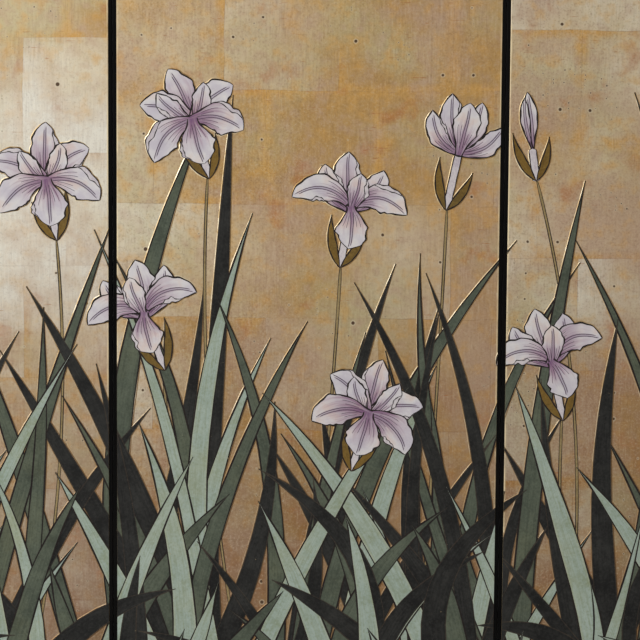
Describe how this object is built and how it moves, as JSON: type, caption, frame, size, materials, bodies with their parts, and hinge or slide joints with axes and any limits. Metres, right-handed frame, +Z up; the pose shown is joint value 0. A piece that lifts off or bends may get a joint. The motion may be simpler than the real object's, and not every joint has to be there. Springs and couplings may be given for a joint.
{
  "type": "folding screen",
  "caption": "Standing folding screen of framed lacquer panels with gilded fronts in low relief, joined by brass loose-pin hinges so that it folds like a concertina.",
  "frame": {"origin": "centre of the bounding box at floor level, as the screen stands", "axes": "+Z up, gilded fronts of the panels in line face -Y, +X to the viewer's right"},
  "size_m": [1.4291, 0.3831, 1.83],
  "materials": {
    "gilded_face": "gold leaf on gesso",
    "black_lacquer": "polished lacquer",
    "core_wood": "planed",
    "brass": "satin, aged"
  },
  "bodies": {
    "panel_1": {"panel_1_left_stile": "black_lacquer", "panel_1_right_stile": "black_lacquer", "panel_1_top_rail": "black_lacquer", "panel_1_bottom_rail": "black_lacquer", "panel_1_core_board": "core_wood", "panel_1_gilded_face": "gilded_face", "panel_1_back_face": "black_lacquer", "seam_1_lower_hinge_left_leaf": "brass", "seam_1_lower_hinge_pin": "brass", "seam_1_middle_hinge_left_leaf": "brass", "seam_1_middle_hinge_pin": "brass", "seam_1_upper_hinge_left_leaf": "brass", "seam_1_upper_hinge_pin": "brass"},
    "panel_2": {"panel_2_left_stile": "black_lacquer", "panel_2_right_stile": "black_lacquer", "panel_2_top_rail": "black_lacquer", "panel_2_bottom_rail": "black_lacquer", "panel_2_core_board": "core_wood", "panel_2_gilded_face": "gilded_face", "panel_2_back_face": "black_lacquer", "seam_1_lower_hinge_right_leaf": "brass", "seam_1_middle_hinge_right_leaf": "brass", "seam_1_upper_hinge_right_leaf": "brass", "seam_2_lower_hinge_left_leaf": "brass", "seam_2_lower_hinge_pin": "brass", "seam_2_middle_hinge_left_leaf": "brass", "seam_2_middle_hinge_pin": "brass", "seam_2_upper_hinge_left_leaf": "brass", "seam_2_upper_hinge_pin": "brass"},
    "panel_3": {"panel_3_left_stile": "black_lacquer", "panel_3_right_stile": "black_lacquer", "panel_3_top_rail": "black_lacquer", "panel_3_bottom_rail": "black_lacquer", "panel_3_core_board": "core_wood", "panel_3_gilded_face": "gilded_face", "panel_3_back_face": "black_lacquer", "seam_2_lower_hinge_right_leaf": "brass", "seam_2_middle_hinge_right_leaf": "brass", "seam_2_upper_hinge_right_leaf": "brass", "seam_3_lower_hinge_left_leaf": "brass", "seam_3_lower_hinge_pin": "brass", "seam_3_middle_hinge_left_leaf": "brass", "seam_3_middle_hinge_pin": "brass", "seam_3_upper_hinge_left_leaf": "brass", "seam_3_upper_hinge_pin": "brass"},
    "panel_4": {"panel_4_left_stile": "black_lacquer", "panel_4_right_stile": "black_lacquer", "panel_4_top_rail": "black_lacquer", "panel_4_bottom_rail": "black_lacquer", "panel_4_core_board": "core_wood", "panel_4_gilded_face": "gilded_face", "panel_4_back_face": "black_lacquer", "seam_3_lower_hinge_right_leaf": "brass", "seam_3_middle_hinge_right_leaf": "brass", "seam_3_upper_hinge_right_leaf": "brass"}
  },
  "joints": [
    {"name": "seam_1_fold", "type": "hinge", "parent": "panel_2", "child": "panel_1", "pos_m": [-0.30827, 0.16668, 0], "axis": [0, 0, 1], "range_deg": [0, 180]},
    {"name": "seam_2_fold", "type": "hinge", "parent": "panel_2", "child": "panel_3", "pos_m": [0.09853, 0.18868, 0], "axis": [0, 0, 1], "range_deg": [0, 180]},
    {"name": "seam_3_fold", "type": "hinge", "parent": "panel_3", "child": "panel_4", "pos_m": [0.50533, 0.16668, 0], "axis": [0, 0, -1], "range_deg": [-62, 118]}
  ]
}
